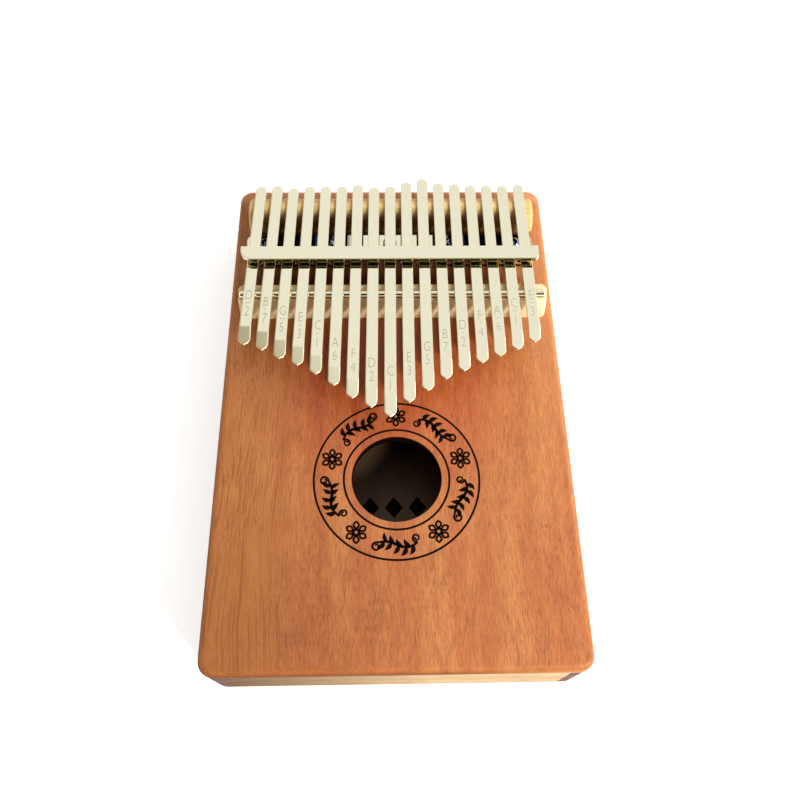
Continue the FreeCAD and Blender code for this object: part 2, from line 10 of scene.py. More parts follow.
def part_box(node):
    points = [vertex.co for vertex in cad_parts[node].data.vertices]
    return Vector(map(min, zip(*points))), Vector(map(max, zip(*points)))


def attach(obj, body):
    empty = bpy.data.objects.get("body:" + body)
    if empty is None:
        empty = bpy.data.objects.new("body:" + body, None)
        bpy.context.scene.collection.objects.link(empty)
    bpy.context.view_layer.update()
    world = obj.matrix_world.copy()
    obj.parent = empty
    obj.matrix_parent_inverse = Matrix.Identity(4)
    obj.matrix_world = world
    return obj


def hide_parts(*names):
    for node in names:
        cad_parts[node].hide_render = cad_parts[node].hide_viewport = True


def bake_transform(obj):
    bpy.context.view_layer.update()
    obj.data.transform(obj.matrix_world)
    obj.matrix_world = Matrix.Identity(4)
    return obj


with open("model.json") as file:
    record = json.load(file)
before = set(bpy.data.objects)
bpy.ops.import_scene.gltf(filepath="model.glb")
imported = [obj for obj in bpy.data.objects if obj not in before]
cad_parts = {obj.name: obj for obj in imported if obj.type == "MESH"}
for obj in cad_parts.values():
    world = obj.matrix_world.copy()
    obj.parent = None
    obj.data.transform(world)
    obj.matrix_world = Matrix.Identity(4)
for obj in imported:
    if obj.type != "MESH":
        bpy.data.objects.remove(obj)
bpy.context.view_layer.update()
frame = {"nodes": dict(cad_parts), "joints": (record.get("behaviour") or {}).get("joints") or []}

MM = 0.001
ROOT = "box"
TINE_COUNT = 17
SCREW_COUNT = 5

# Places and sizes that come from the frame.
BOARD_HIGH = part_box("top_plate")[1]
BOARD_TOP = BOARD_HIGH.z
HALF_WIDTH = BOARD_HIGH.x
HALF_LENGTH = BOARD_HIGH.y
BACK_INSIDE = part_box("back_plate")[1].z
REAR_BRIDGE_LOW, REAR_BRIDGE_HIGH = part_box("rear_bridge")
CLAMP_LOW, CLAMP_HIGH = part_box("tine_clamp")
JOINTS = {joint["name"]: joint for joint in frame["joints"]}

# Tines, as in the CAD model.
TINE_HALF_WIDTH = 2.3 * MM
TINE_HALF_THICKNESS = 0.5 * MM
TINE_SLOPE = math.radians(3.15)
TIP_BEND = math.radians(14.0)
TIP_BEND_LENGTH = 7.7 * MM
TIP_BEND_RADIUS = 2.2 * MM
MIDDLE_TINE = 9
ROW_TURN = math.radians(-0.59)
ROW_FAN = math.radians(0.055)

# Outline of a tine's tip: distance back from its point and half width there, in millimetres.
TIP_OUTLINE = [(2.7, 2.3), (2.3, 2.29), (1.95, 2.2), (1.6, 2.04), (1.25, 1.78), (0.95, 1.46),
               (0.7, 1.08), (0.52, 0.76), (0.36, 0.5), (0.18, 0.34), (0.0, 0.16)]

# Section of a tine from its underside up: inset from the outline and height, in millimetres.
TINE_SECTION = [(0.14, -0.50), (0.03, -0.44), (0.0, -0.34), (0.0, 0.32), (0.04, 0.41),
                (0.11, 0.47), (0.21, 0.50), (0.50, 0.50)]
TAIL_STEPS = 9
TAIL_ARC = 88.0
BEND_STEPS = 6
STATION_GAP = 1.2 * MM
LEAST_HALF_WIDTH = 0.05 * MM

# Where a tine is narrow its inset stops short of the middle line.
NARROW_SHARE = 0.9
NARROW_GAP = 0.02 * MM

# Material slots of a tine.
BRIGHT, EDGE, SHADED_UNDERSIDE, MARKED = range(4)

# Note marks stamped in the tines, left to right: letter, dots, digit.
NOTE_MARKS = ["D:2", "B.7", "G:5", "E.3", "C.1", "A 6", "F 4", "D 2", "C 1",
              "E 3", "G 5", "B 7", "D.2", "F.4", "A.6", "C:1", "E:3"]

# How far each mark sits from its usual place, in millimetres towards the clamp.
MARK_SLIPS = [1.8, 1.0, 0.5, 0.4, 0.5, -0.2, 0.1, 0.0, 0.3, 0.4, 0.2, 0.9, -0.7, 0.3, -0.2, 0.2, 0.6]

# Distances of a mark's letter and digit from the tip, with dots between them and without.
DOTTED_PLACES = (21.0 * MM, 13.0 * MM)
PLAIN_PLACES = (18.6 * MM, 12.6 * MM)
DOTS_PLACE = 17.1 * MM
DOT_RADIUS = 0.3 * MM
DOT_COLUMNS = {" ": (), ".": (0.0,), ":": (-0.5 * MM, 0.5 * MM)}
LETTER_HEIGHT = 4.3 * MM
LETTER_NARROWING = 0.64
LETTER_THINNING = -0.02
MARK_PROUD = 0.012 * MM

# Rosette round the sound hole, centred on the hole.
HOLE_CENTRE = Vector((0.8 * MM, -34.3 * MM))
HOLE_RADIUS = 16.5 * MM
RING_RADII = (30.5 * MM, 19.45 * MM)
RING_LINE = 0.75 * MM
RING_STEPS = 180
ORNAMENT_RADIUS = 25.1 * MM
ORNAMENT_COUNT = 5
ENGRAVING_PROUD = 0.02 * MM
ENGRAVING_DEPTH = 0.05 * MM

# Flower: pointed petals round a thick ring.
PETAL_COUNT = 6
PETAL_START = 1.2 * MM
PETAL_LENGTH = 2.75 * MM
PETAL_WIDTH = 1.9 * MM
PETAL_FULLNESS = 1.15
PETAL_LINE = 0.76 * MM
FLOWER_RING_RADIUS = 1.05 * MM
FLOWER_RING_LINE = 0.95 * MM
FLOWER_RING_STEPS = 18

# Sprig: a waving stem with curled ends. Each leaf has its place along the stem, in millimetres,
# and its turn in degrees; each berry has its place.
SPRIG_REACH = 7.2 * MM
SPRIG_WAVE = 1.0 * MM
SPRIG_STEPS = 40
STEM_LINE = 0.75 * MM
STEM_SWELL = 0.4 * MM
CURL_RADIUS = 1.6 * MM
CURL_SHRINK = 0.6
CURL_TURN = 430.0
CURL_STEPS = 25
CURL_LINE = 0.85 * MM
CURL_THINNING = 0.3 * MM
SPRIG_LEAVES = [(-5.4, 62), (-4.4, -58), (-2.9, 58), (-1.6, -54), (-0.3, 60), (1.2, -58),
                (2.4, 56), (4.0, -62), (5.0, 60)]
LEAF_LENGTH = 3.6 * MM
LEAF_WIDTH = 1.6 * MM
LEAF_LEAST_WIDTH = 0.06 * MM
LEAF_FULLNESS = 0.8
LEAF_BOW = 0.12 * LEAF_LENGTH
SPRIG_BERRIES = [(-6.6, -1.6), (6.6, 1.6)]
BERRY_RADIUS = 0.45 * MM

# Ornament on the back board: three lozenges over a line.
LOZENGE_MIDDLE = -36.0 * MM
LOZENGE_GAP = 9.5 * MM
LOZENGE_HALF = (3.6 * MM, 4.4 * MM)
LINE_DROP = 7.5 * MM
LINE_HALF_LENGTH = 15.0 * MM
LINE_WIDTH = 0.9 * MM

# Sky of the studio: brightness, directions, and the lean towards each where a change starts and ends.
SKY_LEVEL = 0.76
LEFT_DIMNESS = 0.5
FRONT_DIMNESS = 0.55
CAMERA_DIMNESS = 0.01
LEFT_SKY_TONE = (1.0, 0.92, 0.74, 1.0)
WHITE = (1.0, 1.0, 1.0, 1.0)
LEFT_TO_RIGHT = (0.958, 0.287, 0.0)
REARWARDS = (0.0, 1.0, 0.0)
UPWARDS = (0.0, 0.0, 1.0)
TOWARDS_CAMERA = (0.0, -0.616, 0.788)
RIGHT_SPAN = (-0.17, 0.02)
HIGH_SPAN = (0.35, 0.65)
FRONT_SPAN = (-0.45, -0.1)
CAMERA_SPAN = (0.92, 0.975)
HORIZON_SPAN = (0.04, 0.26)

# Lamps: name, place, target, size, watts and tone.
LAMPS = [("key", (0.33, -0.48, 0.45), (0.0, 0.0, 0.03), (0.10, 0.10), 3.75, (1.0, 0.98, 0.94)),
         ("side", (0.24, 0.04, 0.15), (0.02, 0.0, 0.03), (0.12, 0.12), 0.3, (1.0, 0.975, 0.92))]

# Camera above the player's hands: place, and turns in degrees about its own axes.
CAMERA_PLACE = (-4.1 * MM, -133.3 * MM, BOARD_TOP + 266.3 * MM)
CAMERA_TURNS = [(-2.91, "Z"), (26.25, "X"), (2.16, "Z")]
CAMERA_LENS = 34.5
CAMERA_SENSOR = 36.0
CAMERA_NEAR = 0.01

FLOOR_REACH = 6.0
FLOOR_GAP = 0.1 * MM


# ---------------------------------------------------------------- nodes

# Noise of a surface: size of its features across the grain and along it, detail, roughness, shift.
Layer = namedtuple("Layer", "across along detail rough shift", defaults=(2.0, 0.5, 0.0))


class Nodes:
    """Node tree whose nodes are added and linked by short calls."""

    def __init__(self, tree):
        self.tree = tree

    def add(self, kind, settings=None, **inputs):
        """Add a node; an input is a value or another node's output socket."""
        node = self.tree.nodes.new(kind)
        for key, value in (settings or {}).items():
            setattr(node, key, value)
        for key, value in inputs.items():
            self.set(node, key.replace("_", " "), value)
        return node

    def set(self, node, key, value):
        """Set or link an input, given by its name or number."""
        socket = node.inputs[int(key)] if key.isdigit() else node.inputs[key]
        if isinstance(value, bpy.types.NodeSocket):
            self.tree.links.new(value, socket)
        else:
            socket.default_value = value

    def remap(self, value, low, high, to_low=0.0, to_high=1.0, kind="LINEAR"):
        """Value carried from one range to another, and held at its ends."""
        node = self.add("ShaderNodeMapRange", {"interpolation_type": kind}, Value=value,
                        From_Min=low, From_Max=high, To_Min=to_low, To_Max=to_high)
        return node.outputs["Result"]

    def mix(self, factor, first, second, blend="MIX"):
        """Colour between two others."""
        settings = {"data_type": "RGBA", "blend_type": blend}
        node = self.add("ShaderNodeMix", settings, **{"0": factor, "6": first, "7": second})
        return node.outputs[2]

    def math(self, operation, first, second=0.0):
        node = self.add("ShaderNodeMath", {"operation": operation}, **{"0": first, "1": second})
        return node.outputs[0]

    def product(self, first, *others):
        """Product of output sockets and numbers."""
        for value in others:
            first = self.math("MULTIPLY", first, value)
        return first

    def vector_math(self, operation, first, second, output="Vector"):
        node = self.add("ShaderNodeVectorMath", {"operation": operation}, **{"0": first, "1": second})
        return node.outputs[output]


class Shader(Nodes):
    """Material of one surface, with textures placed by object coordinates."""

    def __init__(self, name):
        self.material = bpy.data.materials.new(name)
        self.material.use_nodes = True
        super().__init__(self.material.node_tree)
        self.surface = self.tree.nodes["Principled BSDF"]
        self.place = self.add("ShaderNodeTexCoord").outputs["Object"]
        self.grain = self.place

    def set_surface(self, **inputs):
        for key, value in inputs.items():
            self.set(self.surface, key.replace("_", " "), value)

    def axes(self):
        """Object coordinates as three numbers: across, along and height."""
        parts = self.add("ShaderNodeSeparateXYZ", Vector=self.place)
        return parts.outputs["X"], parts.outputs["Y"], parts.outputs["Z"]

    def flat_distance(self, centre):
        """Distance from an upright line through a place, seen from above."""
        flat = self.vector_math("MULTIPLY", self.place, (1.0, 1.0, 0.0))
        return self.vector_math("DISTANCE", flat, centre, "Value")

    def bend_grain(self, reach, size):
        """Shift later textures sideways by a slow noise, so that straight grain wanders."""
        vector = self.add("ShaderNodeMapping", Vector=self.place, Scale=[1.0 / size] * 3).outputs["Vector"]
        drift = self.add("ShaderNodeTexNoise", Vector=vector, Scale=1.0, Detail=1.0).outputs["Color"]
        centred = self.vector_math("SUBTRACT", drift, (0.5, 0.5, 0.5))
        scaled = self.vector_math("MULTIPLY", centred, (reach, reach, reach))
        self.grain = self.vector_math("ADD", self.place, scaled)

    def noise(self, layer, axis="Y", shift=0.0):
        """Noise from 0 to 1, with its grain along an axis."""
        scale = [1.0 / layer.across] * 3
        scale["XYZ".index(axis)] = 1.0 / layer.along
        place = self.add("ShaderNodeMapping", Vector=self.grain, Scale=scale,
                         Location=[layer.shift + shift] * 3)
        node = self.add("ShaderNodeTexNoise", Vector=place.outputs["Vector"], Scale=1.0,
                        Detail=layer.detail, Roughness=layer.rough)
        return node.outputs["Fac"]

    def paint(self, body, tone, *fades, share=1.0, blend="MIX"):
        """Lay a tone over part of a surface. A fade is a value with where it starts and is full."""
        factor = self.product(share, *(self.remap(value, *span) for value, span in fades))
        return self.mix(factor, body, tone, blend)

    def bump(self, height, distance, strength, normal=None):
        node = self.add("ShaderNodeBump", Height=height, Distance=distance, Strength=strength)
        if normal:
            self.set(node, "Normal", normal)
        self.set_surface(Normal=node.outputs["Normal"])


def rgb(red, green, blue):
    """Linear colour from sRGB components of 0 to 255."""
    parts = []
    for value in (red, green, blue):
        part = value / 255.0
        parts.append(part / 12.92 if part <= 0.04045 else ((part + 0.055) / 1.055) ** 2.4)
    return (*parts, 1.0)


# ---------------------------------------------------------------- stains, painted shade and painted light

# A span gives where a tone starts and where it is full.
# Painted shade, laid behind the clamp and on the rear bridge's foot.
PAINTED_SHADE_TONE = (0.22, 0.17, 0.10, 1.0)

# Sound board: redder painted shade under the tines, and painted shade darkening the front left corner.
TINE_SHADE_CENTRE = (-2 * MM, 16 * MM, 0.0)
TINE_SHADE_SPAN = (66 * MM, 18 * MM)
TINE_SHADE_TONE = (1.0, 0.64, 0.54, 1.0)
SHADED_CORNER = (-HALF_WIDTH, -HALF_LENGTH, 0.0)
SHADED_CORNER_SPAN = (75 * MM, 0.0)
SHADED_CORNER_TONE = (0.72, 0.70, 0.68, 1.0)

# Sound board: sapwood along the left side, with dark lines in it.
SAPWOOD_SPAN = (-35 * MM, -43 * MM)
SAPWOOD_TONE = rgb(184, 126, 72)
SAP_LINES = Layer(0.55 * MM, 120 * MM, 1.0, 0.5, 47.0)
SAP_LINE_SPAN = (0.54, 0.64)
SAP_LINE_TONE = rgb(120, 66, 38)

# Sound board: painted shade in a band between the bridges, and painted shade behind the clamp.
SHADE_BAND_FRONT_SPAN = (36 * MM, 42 * MM)
SHADE_BAND_REAR_SPAN = (CLAMP_HIGH.y - 1 * MM, CLAMP_HIGH.y - 4 * MM)
SHADE_BAND_RIGHT_SPAN = (46 * MM, 6 * MM)
SHADE_BAND_LEFT_SPAN = (-61 * MM, -54 * MM)
SHADE_BAND_TONE = (0.42, 0.40, 0.44, 1.0)
CLAMP_SHADE_FRONT_SPAN = (CLAMP_HIGH.y - 2 * MM, CLAMP_HIGH.y)
CLAMP_SHADE_REAR_SPAN = (REAR_BRIDGE_LOW.y + 4 * MM, REAR_BRIDGE_LOW.y + 1 * MM)
CLAMP_SHADE_SIDE_SPAN = (58 * MM, 55 * MM)

# Sound board: painted light behind the rear bridge and along the right side.
PAINTED_LIGHT_REAR_SPAN = (REAR_BRIDGE_HIGH.y - 2 * MM, REAR_BRIDGE_HIGH.y + 1 * MM)
PAINTED_LIGHT_REAR_TONE = rgb(226, 154, 110)
PAINTED_LIGHT_SIDE_SPAN = (48 * MM, 62 * MM)
PAINTED_LIGHT_SIDE_FRONT_SPAN = (-30 * MM, 20 * MM)
PAINTED_LIGHT_SIDE_TONE = rgb(236, 176, 118)

# Sound board: painted shade down its rounded edge with painted light on the right, less varnish there, and
# the hole's charred wall.
EDGE_SHADE_SPAN = (BOARD_TOP - 0.4 * MM, BOARD_TOP - 2.2 * MM)
EDGE_LIGHT_RIGHT_SPAN = (20 * MM, HALF_WIDTH)
EDGE_SHADE_AND_LIGHT_TONES = (rgb(104, 56, 30), rgb(196, 138, 76))
COAT_SPAN = (BOARD_TOP - 0.12 * MM, BOARD_TOP - 0.01 * MM)
BOARD_COAT = 0.35
GLOSS_SPAN = (BOARD_TOP - 1.2 * MM, BOARD_TOP)
BOARD_GLOSS = (0.03, 0.3)
CHAR_SPAN = (HOLE_RADIUS + 0.25 * MM, HOLE_RADIUS + 0.05 * MM)
CHAR_TONE = rgb(34, 19, 12)

# Other wood: painted shade at the rear bridge's foot and towards the end boards' left end, and a darker
# inside face of the back board.
BRIDGE_DEPTH = REAR_BRIDGE_HIGH.y - REAR_BRIDGE_LOW.y
BRIDGE_FOOT_SPAN = (REAR_BRIDGE_LOW.y + 0.5 * BRIDGE_DEPTH, REAR_BRIDGE_LOW.y + 0.12 * BRIDGE_DEPTH)
UNDER_TAILS_SPAN = (57 * MM, 54 * MM)
END_SHADE_SPAN = (0.2 * HALF_WIDTH, -HALF_WIDTH)
END_SHADE_TONE = rgb(86, 52, 18)
INSIDE_SPAN = (BACK_INSIDE - 0.3 * MM, BACK_INSIDE - 0.05 * MM)
INSIDE_CLOUD = Layer(11 * MM, 30 * MM, 3.0, 0.5, 2.0)
INSIDE_TONES = (rgb(88, 68, 54), rgb(142, 114, 86))

# Clamp: painted dark blue reflection on its low flange, left out in the middle and at the ends, and a
# painted dark reflection along the front edge of its bar.
FLANGE_REFLECTION_HEIGHT_SPAN = (BOARD_TOP + 1.9 * MM, BOARD_TOP + 1.6 * MM)
FLANGE_REFLECTION_MIDDLE = 2.5 * MM
FLANGE_REFLECTION_INNER_SPAN = (19 * MM, 22 * MM)
FLANGE_REFLECTION_OUTER_SPAN = (58 * MM, 56 * MM)
FLANGE_REFLECTION_TONE = rgb(58, 70, 96)
BAR_EDGE_REFLECTION_SPAN = (CLAMP_LOW.y + 0.85 * MM, CLAMP_LOW.y + 0.05 * MM)
BAR_EDGE_REFLECTION_POWER = 1.6
BAR_EDGE_REFLECTION_TONE = (0.46, 0.46, 0.25, 1.0)


def toned_top(shade, body):
    """Colours of the sound board by place, with painted shade and painted light."""
    across, along, height = shade.axes()
    outwards = shade.math("ABSOLUTE", across)
    from_tine_shade = shade.flat_distance(TINE_SHADE_CENTRE)
    from_corner = shade.flat_distance(SHADED_CORNER)
    from_hole = shade.flat_distance((HOLE_CENTRE.x, HOLE_CENTRE.y, 0.0))
    # Painted shade: redder and darker under the tines.
    body = shade.paint(body, TINE_SHADE_TONE, (from_tine_shade, TINE_SHADE_SPAN), blend="MULTIPLY")
    # Painted shade: darker towards the front left corner.
    body = shade.paint(body, SHADED_CORNER_TONE, (from_corner, SHADED_CORNER_SPAN), blend="MULTIPLY")
    body = sapwood(shade, body, across)
    # Painted shade in the gaps between the bridges, under the tines.
    body = shade.paint(body, SHADE_BAND_TONE, (along, SHADE_BAND_FRONT_SPAN), (along, SHADE_BAND_REAR_SPAN),
                       (across, SHADE_BAND_RIGHT_SPAN), (across, SHADE_BAND_LEFT_SPAN), blend="MULTIPLY")
    # Painted shade on the board between the clamp and the rear bridge.
    body = shade.paint(body, PAINTED_SHADE_TONE, (along, CLAMP_SHADE_FRONT_SPAN), (along, CLAMP_SHADE_REAR_SPAN),
                       (outwards, CLAMP_SHADE_SIDE_SPAN), blend="MULTIPLY")
    # Painted light behind the rear bridge and along the right side.
    body = shade.paint(body, PAINTED_LIGHT_REAR_TONE, (along, PAINTED_LIGHT_REAR_SPAN), share=0.6)
    body = shade.paint(body, PAINTED_LIGHT_SIDE_TONE, (across, PAINTED_LIGHT_SIDE_SPAN), (along, PAINTED_LIGHT_SIDE_FRONT_SPAN),
                       share=0.2)
    body = shaded_and_lit_edge(shade, body, across, height)
    return shade.paint(body, CHAR_TONE, (from_hole, CHAR_SPAN))


def sapwood(shade, body, across):
    """Sapwood along the left side, with fine dark lines in it."""
    lines = shade.noise(SAP_LINES)
    body = shade.paint(body, SAPWOOD_TONE, (across, SAPWOOD_SPAN), share=0.35)
    return shade.paint(body, SAP_LINE_TONE, (across, SAPWOOD_SPAN), (lines, SAP_LINE_SPAN), share=0.4)


def shaded_and_lit_edge(shade, body, across, height):
    """Painted shade down the board's rounded edge, lighter on the right as painted light, where the
    varnish is thin.
    """
    tone = shade.mix(shade.remap(across, *EDGE_LIGHT_RIGHT_SPAN), *EDGE_SHADE_AND_LIGHT_TONES)
    coat = shade.product(shade.remap(height, *COAT_SPAN), BOARD_COAT)
    gloss = shade.remap(height, *GLOSS_SPAN, *BOARD_GLOSS)
    shade.set_surface(Coat_Weight=coat, Specular_IOR_Level=gloss)
    return shade.paint(body, tone, (height, EDGE_SHADE_SPAN), share=0.85)


def rear_bridge_painted_shade(shade, body):
    """Painted shade that darkens the rear bridge towards its front foot, under the tines' tails."""
    across, along, _ = shade.axes()
    outwards = shade.math("ABSOLUTE", across)
    return shade.paint(body, PAINTED_SHADE_TONE, (along, BRIDGE_FOOT_SPAN), (outwards, UNDER_TAILS_SPAN),
                       blend="MULTIPLY")


def end_boards_painted_shade(shade, body):
    """Painted shade that darkens the pale end boards towards their left end."""
    across = shade.axes()[0]
    return shade.paint(body, END_SHADE_TONE, (across, END_SHADE_SPAN))


def darker_inside(shade, body):
    """Darker cloudy tone on the face of the back board that looks into the box."""
    height = shade.axes()[2]
    tone = shade.mix(shade.noise(INSIDE_CLOUD), *INSIDE_TONES)
    return shade.paint(body, tone, (height, INSIDE_SPAN))


def clamp_painted_reflections(shade, body):
    """Painted dark blue reflection on the clamp's flange, and painted dark reflection along the front edge
    of its bar.
    """
    across, along, height = shade.axes()
    outwards = shade.math("ABSOLUTE", shade.math("SUBTRACT", across, FLANGE_REFLECTION_MIDDLE))
    # Painted reflection: dark blue on the low flange.
    body = shade.paint(body, FLANGE_REFLECTION_TONE, (height, FLANGE_REFLECTION_HEIGHT_SPAN), (outwards, FLANGE_REFLECTION_INNER_SPAN),
                       (outwards, FLANGE_REFLECTION_OUTER_SPAN))
    # Painted reflection: olive darkening along the bar's front edge.
    bar_edge_reflection = shade.math("POWER", shade.remap(along, *BAR_EDGE_REFLECTION_SPAN), BAR_EDGE_REFLECTION_POWER)
    return shade.mix(bar_edge_reflection, body, BAR_EDGE_REFLECTION_TONE, blend="MULTIPLY")


# ---------------------------------------------------------------- materials

# Timber colours: light and mid wood, dark streaks and open pores.
Timber = namedtuple("Timber", "light mid dark pore")
MAHOGANY = Timber(rgb(197, 133, 81), rgb(186, 116, 70), rgb(144, 78, 46), rgb(92, 44, 28))
DARK_RAIL = Timber(rgb(104, 62, 46), rgb(84, 48, 36), rgb(60, 32, 24), rgb(34, 18, 13))
PALE_END = Timber(rgb(204, 176, 136), rgb(188, 158, 116), rgb(136, 106, 70), rgb(104, 78, 50))
TAN = Timber(rgb(246, 223, 180), rgb(240, 209, 164), rgb(206, 162, 112), rgb(120, 80, 46))
GOLDEN = Timber(rgb(242, 210, 152), rgb(230, 192, 128), rgb(190, 142, 88), rgb(120, 80, 46))

# Layers of timber figure.
FIGURE = {"ribbon": Layer(13 * MM, 210 * MM, 1.5, 0.5, 3.0),
          "streak": Layer(0.9 * MM, 30 * MM, 3.0, 0.6, 11.0),
          "fibre": Layer(0.3 * MM, 5 * MM, 2.0, 0.6, 17.0),
          "mottle": Layer(4 * MM, 12 * MM, 4.0, 0.6, 7.0),
          "fleck": Layer(0.16 * MM, 3 * MM, 1.0, 0.4, 23.0),
          "patch": Layer(7 * MM, 22 * MM, 1.0, 0.5, 31.0)}
GRAIN_WANDER = 7 * MM
GRAIN_WANDER_SIZE = 55 * MM
RIBBON_SPAN = (0.42, 0.58)
MOTTLE_SPAN = (0.45, 0.75)

# Fine washes over the ribbons: layer, tone, the noise where it starts and is full, and share.
WASHES = [("streak", "dark", (0.45, 0.7), 0.2), ("streak", "light", (0.46, 0.3), 0.12),
          ("fibre", "dark", (0.42, 0.7), 0.45), ("fibre", "light", (0.5, 0.28), 0.3)]

# Pores show where the flecks pass a threshold, which is lower in some patches than in others.
PATCH_SPAN = (0.3, 0.7)
PORE_THRESHOLDS = (0.66, 0.57)
PORE_EFFECT = 0.09
PORE_SOFTNESS = 0.12
PORE_SHARE = 0.45
COAT_ROUGHNESS = 0.14

# Nickel plate, bright and in its hazy places, with polishing lines and small dull patches.
CREAM = rgb(247, 242, 216)
WARM = rgb(240, 234, 204)
POLISH = Layer(0.12 * MM, 9 * MM, 2.0, 0.6)
HAZE = Layer(2.2 * MM, 5 * MM, 4.0, 0.65, 5.0)
PEEL = Layer(0.5 * MM, 0.5 * MM, 2.0, 0.5, 9.0)
HAZE_SPAN = (0.45, 0.75)

# Small surfaces: grit of the stamped marks, char of the burnt lines and tooth of the paper.
GRIT = Layer(0.15 * MM, 0.15 * MM)
CHAR = Layer(0.3 * MM, 2.5 * MM, 3.0, 0.6)
TOOTH = Layer(0.8 * MM, 0.8 * MM, 3.0)


def wood(name, timber, axis="Y", pore_amount=0.5, figure=0.5, roughness=0.42, coat=0.12,
         gloss=0.3, shift=0.0, stain_and_painted_light=None):
    """Varnished timber: broad ribbons, fine fibres and open pores that run along one axis."""
    shade = Shader(name)
    shade.bend_grain(GRAIN_WANDER, GRAIN_WANDER_SIZE)
    noise = {key: shade.noise(layer, axis, shift) for key, layer in FIGURE.items()}

    body = shade.paint(timber.mid, timber.light, (noise["ribbon"], RIBBON_SPAN))
    body = shade.paint(body, timber.dark, (noise["mottle"], MOTTLE_SPAN), share=figure)
    for layer, tone, span, share in WASHES:
        body = shade.paint(body, getattr(timber, tone), (noise[layer], span), share=share)
    thresholds = [limit - PORE_EFFECT * pore_amount for limit in PORE_THRESHOLDS]
    above = shade.math("SUBTRACT", noise["fleck"], shade.remap(noise["patch"], *PATCH_SPAN, *thresholds))
    pores = shade.remap(above, 0.0, PORE_SOFTNESS)
    body = shade.mix(shade.product(pores, PORE_SHARE), body, timber.pore)

    shade.set_surface(Coat_Weight=coat, Specular_IOR_Level=gloss)
    if stain_and_painted_light:
        body = stain_and_painted_light(shade, body)
    rough = shade.remap(noise["mottle"], 0.3, 0.8, roughness - 0.05, roughness + 0.1)
    shade.set_surface(Base_Color=body, Roughness=rough, Coat_Roughness=COAT_ROUGHNESS)
    height = shade.math("ADD", shade.product(pores, -1.0), shade.product(noise["fibre"], 0.35))
    shade.bump(height, 0.04 * MM, 0.5)
    return shade.material


def plated_steel(name, tone, roughness, axis, shadow_tone, edge_round=0.0, stain_and_painted_light=None):
    """Plated spring steel: faint polishing lines, haze, small dull patches and worn edges."""
    shade = Shader(name)
    lines, haze, peel = (shade.noise(layer, axis) for layer in (POLISH, HAZE, PEEL))
    body = shade.paint(tone, shadow_tone, (haze, HAZE_SPAN), share=0.5)
    if stain_and_painted_light:
        body = stain_and_painted_light(shade, body)
    rough = shade.remap(haze, 0.3, 0.75, 0.75 * roughness, 1.3 * roughness)
    shade.set_surface(Base_Color=body, Metallic=1.0, Roughness=rough)
    worn = None
    if edge_round:
        worn = shade.add("ShaderNodeBevel", {"samples": 6}, Radius=edge_round).outputs["Normal"]
    height = shade.math("ADD", shade.product(lines, 0.4), peel)
    shade.bump(height, 0.0006 * MM, 0.5, worn)
    return shade.material


def stamped_mark(name):
    """Dull grey floor of a mark stamped in the plating."""
    shade = Shader(name)
    grit = shade.noise(GRIT)
    shade.set_surface(Base_Color=shade.mix(grit, rgb(154, 150, 130), rgb(196, 192, 168)),
                      Metallic=0.6, Roughness=shade.remap(grit, 0.2, 0.8, 0.45, 0.7))
    return shade.material


def burnt_wood(name):
    """Floor of a laser-burnt line: charred brown with lighter grain showing through."""
    shade = Shader(name)
    char = shade.noise(CHAR)
    body = shade.paint(rgb(12, 6, 4), rgb(44, 22, 13), (char, (0.4, 0.75)))
    shade.set_surface(Base_Color=body, Specular_IOR_Level=0.12,
                      Roughness=shade.remap(char, 0.3, 0.7, 0.75, 0.95))
    shade.bump(char, 0.03 * MM, 0.6)
    return shade.material


def paper_floor(name):
    """Pale seamless backdrop, which glows a little."""
    shade = Shader(name)
    body = shade.mix(shade.noise(TOOTH), rgb(246, 246, 246), rgb(252, 252, 252))
    shade.set_surface(Base_Color=body,
                      Roughness=0.9, Emission_Color=WHITE, Emission_Strength=0.45)
    return shade.material


def make_materials():
    bridge = dict(axis="X", pore_amount=0.3, figure=0.3, coat=0.05, roughness=0.55)
    return {
        "top": wood("mahogany_top", MAHOGANY, coat=BOARD_COAT, stain_and_painted_light=toned_top),
        "back": wood("mahogany_back", MAHOGANY, figure=0.6, coat=0.05, shift=40.0, stain_and_painted_light=darker_inside),
        "rail": wood("dark_rail_wood", DARK_RAIL, figure=0.4, coat=0.0, gloss=0.05),
        "pale": wood("pale_end_wood", PALE_END, axis="X", pore_amount=0.1, figure=0.3, coat=0.0,
                     gloss=0.02, stain_and_painted_light=end_boards_painted_shade),
        "front": wood("front_bridge_wood", TAN, **bridge),
        "rear": wood("rear_bridge_wood", GOLDEN, shift=60.0, stain_and_painted_light=rear_bridge_painted_shade, **bridge),
        "tine": plated_steel("tine_nickel", CREAM, 0.09, "Y", WARM),
        "edge": plated_steel("tine_edge", rgb(240, 230, 200), 0.34, "Y", rgb(222, 206, 170)),
        # Painted shade: the tines' undersides are given a dark blue-grey.
        "under": plated_steel("tine_underside", rgb(66, 72, 84), 0.25, "Y", rgb(42, 44, 52)),
        "clamp": plated_steel("clamp_nickel", CREAM, 0.08, "X", WARM, edge_round=0.7 * MM,
                              stain_and_painted_light=clamp_painted_reflections),
        "rod": plated_steel("rod_steel", rgb(242, 234, 204), 0.07, "X", rgb(226, 214, 178)),
        "screw": plated_steel("screw_steel", rgb(176, 190, 210), 0.10, "X", rgb(140, 152, 176)),
        "mark": stamped_mark("stamped_mark"),
        "burnt": burnt_wood("burnt_line"),
        "floor": paper_floor("backdrop_paper"),
    }


def dress(node, material):
    """Give a CAD node its finish."""
    slots = frame["nodes"][node].data.materials
    slots.clear()
    slots.append(material)


